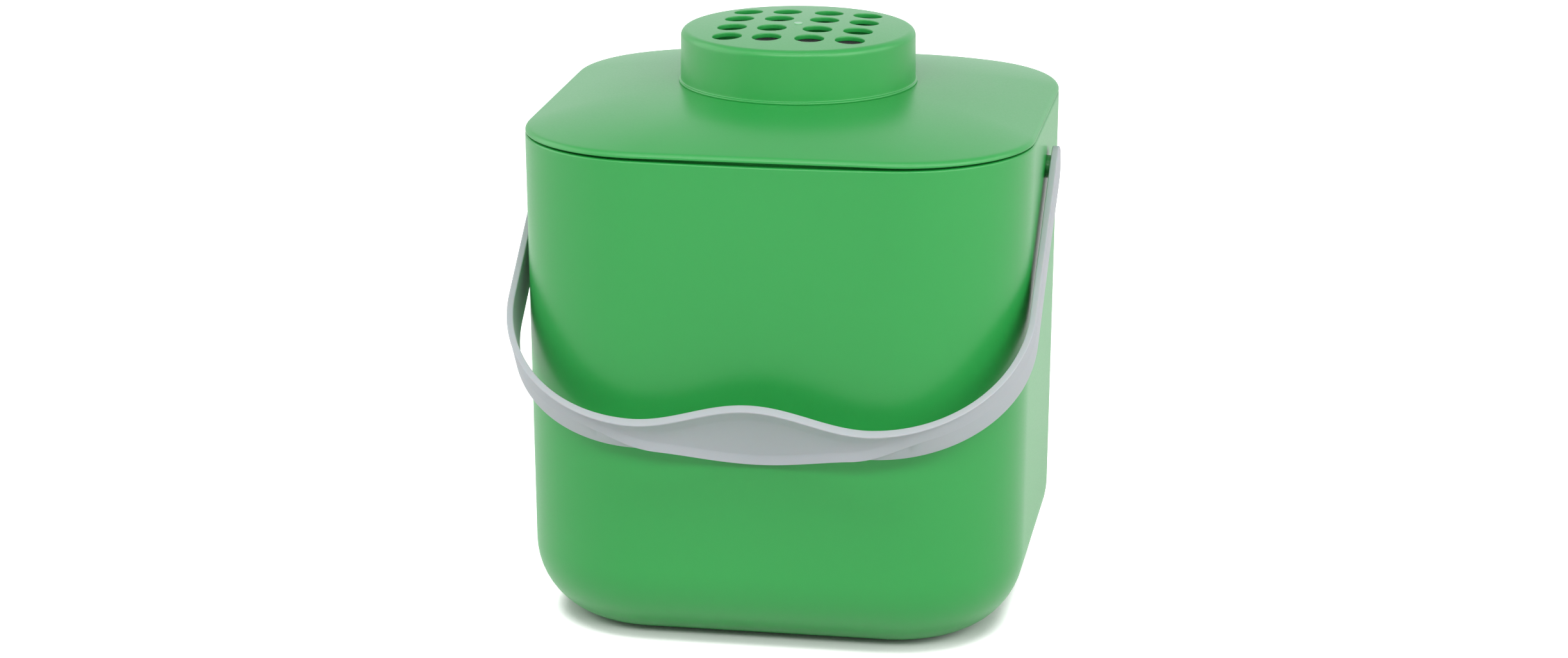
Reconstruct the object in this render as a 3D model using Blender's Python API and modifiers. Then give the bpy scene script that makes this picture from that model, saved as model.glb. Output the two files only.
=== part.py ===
"""Kitchen compost pail: a rounded-square body, a domed lift-off lid, a round vent cap with
sixteen holes over a charcoal filter, and a grey swing handle that snaps into the body.

Sizes are in millimetres and angles in degrees; the meshes are made in metres. X runs across the
pail, +Y to its back and +Z up, and the origin is the middle of the base."""

import math

import bmesh
import bpy
import numpy as np

MM = 0.001

# Body: an open tub, a little narrower at the base than at the rim.
WIDTH = 210.0
DEPTH = 205.0
RIM_Z = 206.8
CORNER_RADIUS = 55.0
BASE_RADIUS = 32.0
DRAFT = 0.0105
WALL = 2.6
RIM_ROUND = 0.6
CORNER_STEPS = 12
BASE_STEPS = 9
LEVEL = 0.1

# Sockets for the handle: a round boss with a hole on each side wall.
HINGE_Y = 6.0
HINGE_Z = 184.8
BOSS_RADIUS = 4.8
BOSS_STAND = 1.75
SOCKET_RADIUS = 3.2

# Lid: the lip stands over the rim, the skirt goes down inside it.
REST_GAP = 0.3
LIP_Z = 207.6
LIP_EDGE_RADIUS = 2.5
LIP_EDGE_TURN = 72.7
SEAT_INSETS = (1.0, 2.2)
SKIRT_INSET = 3.2
SKIRT_TAPER = 0.4
SKIRT_THICKNESS = 1.8
SKIRT_DEPTH = 11.0
LID_WALL = 2.4
DOME_RISE_LINEAR = 15.9
DOME_RISE_ROUNDING = 6.3
DOME_STEPS = 6
SIDE_STEPS = 4
SEAT_RADIUS = 52.0
COLLAR_OUTER = 46.9
COLLAR_INNER = 44.9
COLLAR_HEIGHT = 10.3

# Vent floor under the filter: two rings of openings between spokes.
SLOT_RINGS = ((8, 26.5, 41.5), (4, 8.0, 23.0))
SPOKE_WIDTH = 3.0

# Filter: a disc that lies on the spokes.
FILTER_RADIUS = 44.3
FILTER_THICKNESS = 9.0
FILTER_EDGE = 1.0

# Vent cap: a shallow round cap with a domed top and a bead round its foot.
CAP_RADIUS = 49.8
CAP_TOP_RADIUS = 49.6
CAP_TOP_Z = 241.75
CAP_CROWN = 1.75
CAP_EDGE_RADIUS = 3.0
CAP_WALL = 2.2
CAP_ROOF = 2.0
BEAD_RADIUS = 51.0
BEAD_HEIGHT = 1.8
TURN_STEPS = 48
HOLE_RADIUS = 6.15
HOLE_STEPS = 16
INNER_HOLES = 9.6
SIDE_HOLES = (26.5, 8.9)
CORNER_HOLES = 25.6

# Handle: a strap in a U, with a hollowed grip in its middle.
HANG_ANGLE = 54.2
STRAP_X = 107.18
STRAP_SPLAY = 0.94
STRAP_THICKNESS = 2.6
END_THICKENING = 0.3
END_LENGTH = 45.0
STRAP_ROUND = 0.5
ARM_STRAIGHT = 87.9
REACH = 149.5
BEND_POWER = 2.05
HALF_WIDTH_AT_HINGE = 8.7
HALF_WIDTH_AT_BEND = 9.8
HALF_WIDTH_AT_GRIP = 8.35
WIDEST_AT = 110.0
GRIP_HALF_LENGTH = 45.9
GRIP_ARCH = 2.9
GRIP_UPPER_EDGE = 17.3
GRIP_LOWER_EDGE = 18.1
GRIP_SPREAD = 48.6
LIP_RISE = 1.1
LIP_SHARE = 0.22
LIP_START = 70.0
LOWER_LIP_FULL = 42.0
STUD_RADIUS = 2.9
STUD_HEAD_RADIUS = 4.3
STUD_NOSE_RADIUS = 3.1
STUD_HEAD_LENGTH = 2.0
STUD_STEPS = 24

GREEN = (0.072, 0.407, 0.106, 1.0)
GREY = (0.43, 0.46, 0.48, 1.0)
CHARCOAL = (0.02, 0.021, 0.022, 1.0)


def clear_scene():
    for thing in list(bpy.data.objects):
        bpy.data.objects.remove(thing, do_unlink=True)


def new_collection(name):
    group = bpy.data.collections.new(name)
    bpy.context.scene.collection.children.link(group)
    return group


def plastic(name, colour, roughness):
    material = bpy.data.materials.new(name)
    material.use_nodes = True
    shader = material.node_tree.nodes["Principled BSDF"]
    shader.inputs["Base Color"].default_value = colour
    shader.inputs["Roughness"].default_value = roughness
    shader.inputs["Metallic"].default_value = 0.0
    return material


def place(name, mesh, group, material=None):
    """Puts a mesh into the scene as one named object."""
    thing = bpy.data.objects.new(name, mesh)
    group.objects.link(thing)
    if material:
        mesh.materials.append(material)
    return thing


def mesh_from_faces(name, vertices, faces, smooth_angle=35.0):
    """Makes a mesh in metres from points in millimetres, with its faces turned outwards."""
    mesh = bpy.data.meshes.new(name)
    mesh.from_pydata([tuple(p) for p in np.asarray(vertices) * MM], [], faces)
    shape = bmesh.new()
    shape.from_mesh(mesh)
    bmesh.ops.recalc_face_normals(shape, faces=shape.faces)
    shape.to_mesh(mesh)
    shape.free()
    mesh.shade_smooth()
    mesh.set_sharp_from_angle(angle=math.radians(smooth_angle))
    return mesh


def tool(name, mesh, group):
    """A cutter or a joining piece: it is used by a Boolean and is not a part."""
    thing = place(name, mesh, group)
    thing.hide_render = True
    thing.display_type = "WIRE"
    return thing


def boolean(thing, operation, operand):
    change = thing.modifiers.new(operation.lower() + "_" + operand.name, "BOOLEAN")
    change.operation = operation
    change.solver = "EXACT"
    change.object = operand


def smooth_step(value):
    """0 below 0, 1 above 1 and an even ramp between them."""
    v = np.clip(value, 0.0, 1.0)
    return v * v * (3.0 - 2.0 * v)


def add_cylinder_x(shape, start_x, end_x, radius_start, radius_end, middle=(0.0, 0.0)):
    """Adds a closed cylinder or cone along X to a bmesh, in metres, round a middle given as (y, z)."""
    made = bmesh.ops.create_cone(
        shape, cap_ends=True, segments=STUD_STEPS, radius1=radius_start * MM, radius2=radius_end * MM,
        depth=abs(end_x - start_x) * MM)
    corners = made["verts"]
    sign = 1.0 if end_x > start_x else -1.0
    y_middle, z_middle = middle
    for corner in corners:
        x, y, height = corner.co
        corner.co = (sign * height + (start_x + end_x) / 2 * MM, y_middle * MM - sign * y, z_middle * MM + x)


# Body

def tub_mesh():
    """A box with a tapered base, its upright edges rounded, then its base edge, and no top face."""
    shape = bmesh.new()
    bmesh.ops.create_cube(shape, size=1.0)
    foot = DRAFT * RIM_Z
    for corner in shape.verts:
        low = corner.co.z < 0
        half_x = WIDTH / 2 - (foot if low else 0.0)
        half_y = DEPTH / 2 - (foot if low else 0.0)
        x = math.copysign(half_x, corner.co.x)
        y = math.copysign(half_y, corner.co.y)
        corner.co = (x * MM, y * MM, 0.0 if low else RIM_Z * MM)
    upright = [e for e in shape.edges if abs(e.verts[0].co.z - e.verts[1].co.z) > LEVEL * MM]
    bmesh.ops.bevel(shape, geom=upright, offset=CORNER_RADIUS * MM, segments=CORNER_STEPS,
                    profile=0.5, affect="EDGES")
    base = [e for e in shape.edges if max(v.co.z for v in e.verts) < LEVEL * MM]
    bmesh.ops.bevel(shape, geom=base, offset=BASE_RADIUS * MM, segments=BASE_STEPS,
                    profile=0.5, affect="EDGES")
    top = [f for f in shape.faces if min(v.co.z for v in f.verts) > (RIM_Z - LEVEL) * MM]
    bmesh.ops.delete(shape, geom=top, context="FACES_ONLY")
    mesh = bpy.data.meshes.new("pail_body")
    shape.to_mesh(mesh)
    shape.free()
    mesh.shade_smooth()
    return mesh


def wall_x_at_hinge():
    return WIDTH / 2 - DRAFT * (RIM_Z - HINGE_Z)


def make_body(parts, tools, green):
    body = place("pail_body", tub_mesh(), parts, green)
    shell = body.modifiers.new("wall", "SOLIDIFY")
    shell.thickness = WALL * MM
    shell.offset = -1.0
    shell.use_even_offset = True
    rim = body.modifiers.new("rim_round", "BEVEL")
    rim.width = RIM_ROUND * MM
    rim.segments = 2
    rim.limit_method = "ANGLE"
    rim.angle_limit = math.radians(60.0)

    outer = wall_x_at_hinge() + BOSS_STAND
    bosses = bmesh.new()
    sockets = bmesh.new()
    for side in (-1, 1):
        inner = outer - BOSS_STAND - WALL / 2
        add_cylinder_x(bosses, side * inner, side * outer, BOSS_RADIUS, BOSS_RADIUS, (HINGE_Y, HINGE_Z))
        deep = inner - 3 * WALL
        add_cylinder_x(
            sockets, side * deep, side * (outer + WALL), SOCKET_RADIUS, SOCKET_RADIUS, (HINGE_Y, HINGE_Z))
    for name, shape, operation in (("bosses", bosses, "UNION"), ("sockets", sockets, "DIFFERENCE")):
        mesh = bpy.data.meshes.new(name)
        shape.to_mesh(mesh)
        shape.free()
        boolean(body, operation, tool(name, mesh, tools))
    return body


# Lid

def outline(inset):
    """The rim's plan outline, moved in by inset: four corner arcs joined by divided straight sides."""
    half_x = WIDTH / 2 - inset
    half_y = DEPTH / 2 - inset
    radius = CORNER_RADIUS - inset
    turn = np.linspace(0.0, math.pi / 2, CORNER_STEPS + 1)
    arc = np.column_stack([np.cos(turn), np.sin(turn)]) * radius
    points = []
    for quarter in range(4):
        cos, sin = round(math.cos(quarter * math.pi / 2)), round(math.sin(quarter * math.pi / 2))
        centre = np.array([half_x - radius, half_y - radius])
        centre = centre * [1 if quarter in (0, 3) else -1, 1 if quarter < 2 else -1]
        points.append(arc @ np.array([[cos, sin], [-sin, cos]]) + centre)
    sides = []
    for quarter in range(4):
        start = points[quarter][-1]
        end = points[(quarter + 1) % 4][0]
        share = np.linspace(0.0, 1.0, SIDE_STEPS + 1)[1:-1, None]
        sides.append(start + (end - start) * share)
    return np.concatenate([p for pair in zip(points, sides) for p in pair])


def square_ring(inset, z):
    plan = outline(inset)
    return np.column_stack([plan, np.full(len(plan), z)])


def round_ring(radius, z):
    """A circle whose points lie at the same bearings as those of the rim's outline."""
    plan = outline(0.0)
    bearing = np.arctan2(plan[:, 1], plan[:, 0])
    return np.column_stack([radius * np.cos(bearing), radius * np.sin(bearing), np.full(len(plan), z)])


def dome_start():
    """Inset and height at which the lip's rounded edge runs into the dome."""
    turn = math.radians(LIP_EDGE_TURN)
    return LIP_EDGE_RADIUS * (1 - math.cos(turn)), LIP_Z + LIP_EDGE_RADIUS * math.sin(turn)


def seat_z():
    """Height of the flat ring that the vent cap stands on."""
    return dome_start()[1] + DOME_RISE_LINEAR - DOME_RISE_ROUNDING


def dome_ring(share, drop=0.0):
    """A ring of the dome, from the rounded-square edge at share 0 to the round seat at share 1."""
    inset, low = dome_start()
    z = low + DOME_RISE_LINEAR * share - DOME_RISE_ROUNDING * share ** 2 - drop
    return (1 - share) * square_ring(inset, z) + share * round_ring(SEAT_RADIUS, z)


def lid_mesh():
    """One closed loft: from the middle of the underside out to the skirt, round the lip, over the
    dome to the vent seat, over the collar and in to the middle of the vent floor."""
    floor_z = seat_z()
    skirt_z = RIM_Z - SKIRT_DEPTH
    inner_skirt = SKIRT_INSET + SKIRT_THICKNESS
    share_at_skirt = 0.07
    rings = [round_ring(radius, floor_z - LID_WALL) for radius in (COLLAR_INNER / 2, COLLAR_INNER)]
    rings += [dome_ring(share, LID_WALL) for share in np.linspace(1.0, share_at_skirt, DOME_STEPS)]
    rings += [square_ring(inner_skirt + SKIRT_TAPER, skirt_z)]
    rings += [square_ring(SKIRT_INSET + SKIRT_TAPER, skirt_z)]
    rings += [square_ring(SKIRT_INSET, RIM_Z - RIM_ROUND)]
    rings += [square_ring(SKIRT_INSET - RIM_ROUND, RIM_Z + REST_GAP)]
    rings += [square_ring(SEAT_INSETS[1], RIM_Z + REST_GAP), square_ring(SEAT_INSETS[0], RIM_Z + REST_GAP)]
    rings += [square_ring(SEAT_INSETS[0], LIP_Z), square_ring(RIM_ROUND / 2, LIP_Z)]
    for turn in np.radians(np.linspace(0.0, LIP_EDGE_TURN, 5)):
        rise = LIP_EDGE_RADIUS * math.sin(turn)
        rings.append(square_ring(LIP_EDGE_RADIUS * (1 - math.cos(turn)), LIP_Z + max(rise, RIM_ROUND / 2)))
    rings += [dome_ring(share) for share in np.linspace(0.0, 1.0, DOME_STEPS + 1)[1:]]
    top = floor_z + COLLAR_HEIGHT
    rings += [round_ring(COLLAR_OUTER, floor_z), round_ring(COLLAR_OUTER, top - RIM_ROUND)]
    rings += [round_ring(COLLAR_OUTER - RIM_ROUND, top), round_ring(COLLAR_INNER, top)]
    rings += [round_ring(COLLAR_INNER, floor_z), round_ring(COLLAR_INNER / 2, floor_z)]

    count = len(rings[0])
    vertices = np.vstack([np.concatenate(rings), [[0, 0, floor_z - LID_WALL], [0, 0, floor_z]]])
    faces = []
    for ring in range(len(rings) - 1):
        for k in range(count):
            low, high = ring * count, (ring + 1) * count
            faces.append((low + k, low + (k + 1) % count, high + (k + 1) % count, high + k))
    last = (len(rings) - 1) * count
    pole = len(rings) * count
    for k in range(count):
        faces.append((pole, (k + 1) % count, k))
        faces.append((pole + 1, last + k, last + (k + 1) % count))
    return mesh_from_faces("lid", vertices, faces)


def slot_mesh():
    """The vent floor's openings as prisms, each a piece of a ring between two parallel-sided spokes."""
    low = seat_z() - 2 * LID_WALL
    high = seat_z() + LID_WALL
    vertices, faces = [], []
    for count, inner, outer in SLOT_RINGS:
        for number in range(count):
            middle = math.radians(360.0 * number / count)
            plan = []
            for radius, way in ((inner, 1), (outer, -1)):
                half = math.pi / count - math.asin(SPOKE_WIDTH / 2 / radius)
                for share in np.linspace(-1.0, 1.0, 5) * way:
                    bearing = middle + half * share
                    plan.append((radius * math.cos(bearing), radius * math.sin(bearing)))
            first = len(vertices)
            size = len(plan)
            vertices += [(x, y, low) for x, y in plan] + [(x, y, high) for x, y in plan]
            faces.append(tuple(first + k for k in range(size)))
            faces.append(tuple(first + size + k for k in reversed(range(size))))
            for k in range(size):
                after = (k + 1) % size
                faces.append((first + k, first + size + k, first + size + after, first + after))
    return mesh_from_faces("vent_slots", vertices, faces)


def make_lid(parts, tools, green):
    lid = place("lid", lid_mesh(), parts, green)
    boolean(lid, "DIFFERENCE", tool("vent_slots", slot_mesh(), tools))
    return lid


# Turned pieces

def turned(name, profile, group, material):
    """A profile of (radius, height) points, outer side first and from the top down, turned round Z."""
    mesh = bpy.data.meshes.new(name)
    points = [(radius * MM, 0.0, z * MM) for radius, z in profile]
    mesh.from_pydata(points, [(k, k + 1) for k in range(len(points) - 1)], [])
    thing = place(name, mesh, group, material)
    turn = thing.modifiers.new("turn", "SCREW")
    turn.axis = "Z"
    turn.steps = TURN_STEPS
    turn.render_steps = TURN_STEPS
    turn.use_merge_vertices = True
    turn.merge_threshold = 0.00002
    turn.use_smooth_shade = True
    return thing


def make_filter(parts, charcoal):
    low = seat_z() + REST_GAP
    high = low + FILTER_THICKNESS
    r, edge = FILTER_RADIUS, FILTER_EDGE
    profile = [(0, high), (r - edge, high), (r, high - edge), (r, low + edge), (r - edge, low), (0, low)]
    return turned("charcoal_filter", profile, parts, charcoal)


def crown_z(radius, thickness=0.0):
    """Height of the cap's domed top at a radius: a shallow bowl turned over."""
    reach = CAP_TOP_RADIUS - CAP_EDGE_RADIUS
    return CAP_TOP_Z + CAP_CROWN * (1 - (radius / reach) ** 2) - thickness


def cap_profile():
    foot = seat_z() + REST_GAP
    reach = CAP_TOP_RADIUS - CAP_EDGE_RADIUS
    profile = [(radius, crown_z(radius)) for radius in np.linspace(0.0, reach, 5)]
    for turn in np.radians((30.0, 60.0, 90.0)):
        profile.append((reach + CAP_EDGE_RADIUS * math.sin(turn),
                        CAP_TOP_Z - CAP_EDGE_RADIUS * (1 - math.cos(turn))))
    bead_top = foot + BEAD_HEIGHT
    profile += [(CAP_RADIUS, bead_top + RIM_ROUND), (BEAD_RADIUS - RIM_ROUND / 2, bead_top - RIM_ROUND / 2)]
    profile += [(BEAD_RADIUS, foot + BEAD_HEIGHT / 2), (BEAD_RADIUS - RIM_ROUND / 2, foot)]
    inner = CAP_RADIUS - CAP_WALL
    inner_reach = CAP_TOP_RADIUS - CAP_WALL - CAP_EDGE_RADIUS / 2
    corner_z = crown_z(inner_reach, CAP_ROOF + CAP_EDGE_RADIUS / 2)
    profile += [(inner, foot), (CAP_TOP_RADIUS - CAP_WALL, corner_z)]
    profile += [(radius, crown_z(radius, CAP_ROOF)) for radius in np.linspace(inner_reach, 0.0, 5)]
    return profile


def hole_places():
    """Sixteen holes: four inner ones, eight at the sides and four at the corners."""
    across, along = SIDE_HOLES
    spots = [(INNER_HOLES, INNER_HOLES), (across, along), (along, across), (CORNER_HOLES, CORNER_HOLES)]
    return [(x * sx, y * sy) for x, y in spots for sx in (-1, 1) for sy in (-1, 1)]


def make_cap(parts, tools, green):
    cap = turned("vent_cap", cap_profile(), parts, green)
    shape = bmesh.new()
    middle = CAP_TOP_Z - CAP_ROOF / 2
    for x, y in hole_places():
        made = bmesh.ops.create_cone(
            shape, cap_ends=True, segments=HOLE_STEPS, radius1=HOLE_RADIUS * MM,
            radius2=HOLE_RADIUS * MM, depth=4 * CAP_EDGE_RADIUS * MM)
        bmesh.ops.translate(shape, verts=made["verts"], vec=(x * MM, y * MM, middle * MM))
    mesh = bpy.data.meshes.new("vent_holes")
    shape.to_mesh(mesh)
    shape.free()
    boolean(cap, "DIFFERENCE", tool("vent_holes", mesh, tools))
    return cap


# Handle

def handle_path():
    """Stations of the right half, from the middle of the grip to the arm's rounded end.

    The grip is a shallow cosine arch, then a quarter of a slightly squared ellipse turns into the
    straight arm, which splays a little towards the hinge. Each station is (x across, t along the
    arm from the hinge)."""
    grip_x = np.linspace(0.0, GRIP_HALF_LENGTH, 13)
    arch = GRIP_ARCH * (1 + np.cos(math.pi * grip_x / GRIP_HALF_LENGTH)) / 2
    grip = np.column_stack([grip_x, REACH - arch])
    turn = np.radians(np.linspace(90.0, 0.0, 17))[1:-1]
    corner = np.column_stack([
        GRIP_HALF_LENGTH + (STRAP_X - GRIP_HALF_LENGTH) * np.cos(turn) ** (2 / BEND_POWER),
        ARM_STRAIGHT + (REACH - ARM_STRAIGHT) * np.sin(turn) ** (2 / BEND_POWER)])
    straight = np.linspace(ARM_STRAIGHT, 0.0, 7)
    rounded = -HALF_WIDTH_AT_HINGE * np.sin(np.radians((20.0, 38.0, 54.0, 68.0, 79.0, 87.0)))
    arm_t = np.concatenate([straight, rounded])
    arm = np.column_stack([np.full(len(arm_t), STRAP_X), arm_t])
    path = np.concatenate([grip, corner, arm])
    path[:, 0] *= 1 + STRAP_SPLAY / STRAP_X * (1 - path[:, 1] / REACH)
    return path


def strap_section(x, t):
    """Outline of the strap at a station, as (n, r) pairs: n runs across its width, +n the side that
    faces up and forward at rest, and r outwards from the middle of its thickness.

    On the arms it is a flat strip. In the grip the strip widens and both edges stand up as lips with
    a hollow between them. The lower lip starts in the middle of the strip's face, crosses it and
    leaves it, so that the strip's own edge runs in behind it."""
    half = np.interp(
        t, (0.0, WIDEST_AT, REACH), (HALF_WIDTH_AT_HINGE, HALF_WIDTH_AT_BEND, HALF_WIDTH_AT_GRIP))
    if t < 0:
        half = math.sqrt(max(HALF_WIDTH_AT_HINGE ** 2 - t ** 2, 0.0))
    spread = (1 + math.cos(math.pi * min(x / GRIP_SPREAD, 1.0))) / 2
    edge = half + (GRIP_UPPER_EDGE - half) * spread
    lower = half + (GRIP_LOWER_EDGE - half) * spread
    top_lip = LIP_RISE * smooth_step(1 - x / LIP_START)
    low_lip = LIP_RISE * smooth_step((LIP_START - x) / (LIP_START - LOWER_LIP_FULL))
    crest = -lower * smooth_step((LIP_START - x) / (LIP_START - LOWER_LIP_FULL))
    bottom = min(crest, -half)
    corner = min(STRAP_ROUND, half / 4)
    inner = -STRAP_THICKNESS / 2
    skin = STRAP_THICKNESS / 2 + END_THICKENING * smooth_step(1 - t / END_LENGTH)
    on_face = smooth_step((crest - bottom) / (3 * STRAP_ROUND))

    section = [(edge - corner, inner), (edge, corner + inner)]
    section += [(edge, skin + top_lip - corner), (edge - corner, skin + top_lip)]
    start = edge - corner
    slope = LIP_SHARE * np.array((0.27, 0.6, 1.0))
    for share in (*slope, 0.5, *(1 - slope[::-1])):
        near_top = max(1 - share / LIP_SHARE, 0.0)
        near_low = max(1 - (1 - share) / LIP_SHARE, 0.0)
        rise = near_top ** 2 * top_lip + near_low ** 2 * low_lip
        section.append((start + (crest + corner - start) * share, skin + rise))
    section += [(crest + corner, skin + low_lip), (crest, skin + low_lip - corner * low_lip / LIP_RISE)]
    section += [(max(crest - corner * on_face, bottom), skin - 0.1 * corner)]
    section += [(bottom + corner * on_face, skin - 0.2 * corner), (bottom, skin - corner)]
    section += [(bottom, corner + inner), (bottom + corner, inner)]
    return section


def handle_mesh():
    """Right half of the handle in its own frame: hinge on X, arms hanging straight down."""
    path = handle_path()
    along = np.gradient(path, axis=0)
    along[0] = (1.0, 0.0)
    along /= np.hypot(along[:, 0], along[:, 1])[:, None]
    outward = np.column_stack([-along[:, 1], along[:, 0]])
    vertices = []
    for (x, t), (out_x, out_t) in zip(path, outward):
        for n, r in strap_section(x, t):
            vertices.append((x + out_x * r, -n, -(t + out_t * r)))
    size = len(vertices) // len(path)
    faces = []
    for station in range(len(path) - 1):
        for k in range(size):
            near, far = station * size, (station + 1) * size
            faces.append((near + k, near + (k + 1) % size, far + (k + 1) % size, far + k))
    faces.append(tuple((len(path) - 1) * size + k for k in range(size)))
    return mesh_from_faces("handle", vertices, faces)


def make_handle(parts, tools, grey):
    handle = place("handle", handle_mesh(), parts, grey)
    handle.location = (0.0, HINGE_Y * MM, HINGE_Z * MM)
    handle.rotation_euler = (-math.radians(HANG_ANGLE), 0.0, 0.0)
    mirror = handle.modifiers.new("other_half", "MIRROR")
    mirror.use_axis = (True, False, False)
    mirror.merge_threshold = 0.00002

    inner_wall = wall_x_at_hinge() - WALL
    head_start = inner_wall - REST_GAP
    head_end = head_start - STUD_HEAD_LENGTH
    for side in (-1, 1):
        for name, start, end, radii in (
                ("shank", STRAP_X, head_start - REST_GAP, (STUD_RADIUS, STUD_RADIUS)),
                ("head", head_start, head_end, (STUD_HEAD_RADIUS, STUD_NOSE_RADIUS))):
            shape = bmesh.new()
            add_cylinder_x(shape, side * start, side * end, *radii)
            mesh = bpy.data.meshes.new(name)
            shape.to_mesh(mesh)
            shape.free()
            stud = tool(f"{name}_{'left' if side < 0 else 'right'}", mesh, tools)
            stud.location = handle.location
            stud.rotation_euler = handle.rotation_euler
            boolean(handle, "UNION", stud)
    return handle


def main():
    clear_scene()
    parts = new_collection("compost_pail")
    tools = new_collection("tools")
    green = plastic("green_plastic", GREEN, 0.42)
    grey = plastic("grey_plastic", GREY, 0.45)
    charcoal = plastic("charcoal_felt", CHARCOAL, 0.95)
    make_body(parts, tools, green)
    make_lid(parts, tools, green)
    make_filter(parts, charcoal)
    make_cap(parts, tools, green)
    make_handle(parts, tools, grey)


main()
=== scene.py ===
"""Kitchen compost pail on a white sweep: satin green polypropylene mouldings, a grey bail handle
with a hollowed grip, and a charcoal felt filter under the vent cap.

Sizes are in millimetres and angles in degrees until a mesh is made, which is in metres. X runs
across the pail, +Y to its back and +Z up, from the middle of the base. Every piece is an array of
rings of points: a ring is one outline of the piece, and neighbouring rings are joined by faces."""

import math

import bmesh
import bpy
import numpy as np
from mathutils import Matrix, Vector


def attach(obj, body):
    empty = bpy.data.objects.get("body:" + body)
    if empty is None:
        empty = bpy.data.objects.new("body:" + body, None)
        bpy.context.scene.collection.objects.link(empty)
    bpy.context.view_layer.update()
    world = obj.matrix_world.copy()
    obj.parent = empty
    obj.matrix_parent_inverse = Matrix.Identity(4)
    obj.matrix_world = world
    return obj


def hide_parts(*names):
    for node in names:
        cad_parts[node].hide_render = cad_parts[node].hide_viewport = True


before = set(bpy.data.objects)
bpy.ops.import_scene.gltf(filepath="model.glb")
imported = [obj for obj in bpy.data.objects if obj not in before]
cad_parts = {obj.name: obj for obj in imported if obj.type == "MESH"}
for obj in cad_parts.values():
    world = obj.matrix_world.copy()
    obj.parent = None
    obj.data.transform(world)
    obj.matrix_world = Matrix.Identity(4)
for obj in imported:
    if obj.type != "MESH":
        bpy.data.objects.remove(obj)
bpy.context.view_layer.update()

MM = 0.001
WELD, SHARP_ANGLE = 0.002, 40.0

# Rounded-square plan of the walls
WIDTH, DEPTH, CORNER_RADIUS = 210.0, 205.0, 55.0
CORNER_STEPS, SIDE_STEPS = 28, 20

# Pail. The rim dips in the middle of the front and back: DIP_SIDES gives the distance from the
# middle of the pail where the dip begins, and how much farther on it is at its full depth.
RIM_Z, WALL, DRAFT, BASE_RADIUS, RIM_EDGE_RADIUS, MIDDLE_RADIUS = 206.8, 2.6, 0.0105, 32.2, 0.8, 5.0
RIM_DIP, DIP_LENGTH, DIP_DEPTH, DIP_SIDES = 0.9, 60.0, 14.0, (70.0, 30.0)

# Handle sockets
HINGE_Y, HINGE_Z = 6.0, 184.8
BOSS_RADIUS, BOSS_STAND, SOCKET_RADIUS = 4.8, 1.75, 3.2

# Lid. The slots of the vent floor are given by their inner and outer radii.
LIP_Z, LIP_EDGE_RADIUS, LIP_EDGE_TURN = 207.6, 2.5, 72.7
SEAT_INSETS, SKIRT_INSET, SKIRT_TAPER, SKIRT_THICKNESS, SKIRT_DEPTH = (1.7, 2.4), 3.2, 0.4, 1.8, 11.0
LID_WALL, DOME_RISE, DOME_ROUNDING, SEAT_RADIUS = 2.4, 15.9, 6.3, 52.0
COLLAR_OUTER, COLLAR_INNER, COLLAR_HEIGHT = 46.9, 44.9, 10.3
OUTER_SLOTS, INNER_SLOTS, SLOT_EDGE, SLOT_STEPS = (26.5, 41.5), (8.0, 23.0), 0.4, 8
SPOKE_WIDTH, SLOT_JOIN_RADIUS, HUB_RADIUS = 3.0, 24.75, 4.0
REST_GAP = 0.3

# Filter
FILTER_RADIUS, FILTER_THICKNESS, FILTER_EDGE = 44.3, 9.0, 1.0

# Vent cap. A quarter of it has four holes: one at (INNER, INNER), two at SIDE and at its mirror
# image, and one at (CORNER, CORNER). CELL_LINE is the share of the top's half width at which the
# inner cells, one round each hole, meet the outer ones.
CAP_RADIUS, CAP_TOP_RADIUS, CAP_TOP_Z, CAP_CROWN = 49.25, 49.05, 241.75, 1.75
CAP_EDGE_RADIUS, CAP_WALL, CAP_ROOF = 3.0, 2.2, 2.0
BEAD_RADIUS, BEAD_HEIGHT, FOOT_GAP = 50.0, 0.9, 0.05
HOLE_RADIUS, INNER_HOLES, SIDE_HOLES, CORNER_HOLES = 6.15, 9.6, (26.5, 8.9), 25.6
HOLE_EDGE, CELL_LINE, CELL_STEPS = 0.35, 0.385, 10
GATE_RADIUS, GATE_RISE, GATE_ROOT = 1.8, 0.3, 0.5

# Handle. HALF_WIDTHS gives distances along the arm from the hinge and half the strap's width at
# each. The hollow's slopes on the grip are given by their greatest length and their greatest share
# of the face, and on the arms, top slope first, by their lengths.
HANG_ANGLE, STRAP_X, STRAP_SPLAY = 54.2, 107.18, 0.94
STRAP_THICKNESS, END_THICKENING, END_LENGTH = 2.6, 0.3, 45.0
ARM_STRAIGHT, REACH, BEND_POWER = 87.9, 149.5, 2.05
HALF_WIDTHS = ((0.0, 110.0, 149.5), (8.7, 9.8, 8.35))
GRIP_HALF_LENGTH, GRIP_ARCH, GRIP_UPPER_EDGE, GRIP_LOWER_EDGE, GRIP_SPREAD = 45.9, 2.9, 17.3, 18.1, 48.6
LIP_RISE, LIP_START, LOWER_LIP_FULL, STRAP_ROUND = 1.1, 70.0, 40.0, 0.5
TOP_LIP_FADE, HOLLOW_SINK, SLOPE_POWER = (88.0, 44.0), 1.5, 1.3
TOP_SLOPE, LOW_SLOPE = (8.8, 0.5), (3.2, 0.3)
ARM_LIP, ARM_SINK, ARM_SLOPES, ARM_FADE = 0.2, 0.6, (1.3, 6.5), (8.0, 20.0)
STUD_RADIUS, STUD_HEAD_RADIUS, STUD_NOSE_RADIUS, STUD_HEAD_LENGTH = 2.9, 4.3, 3.1, 2.0

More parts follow.
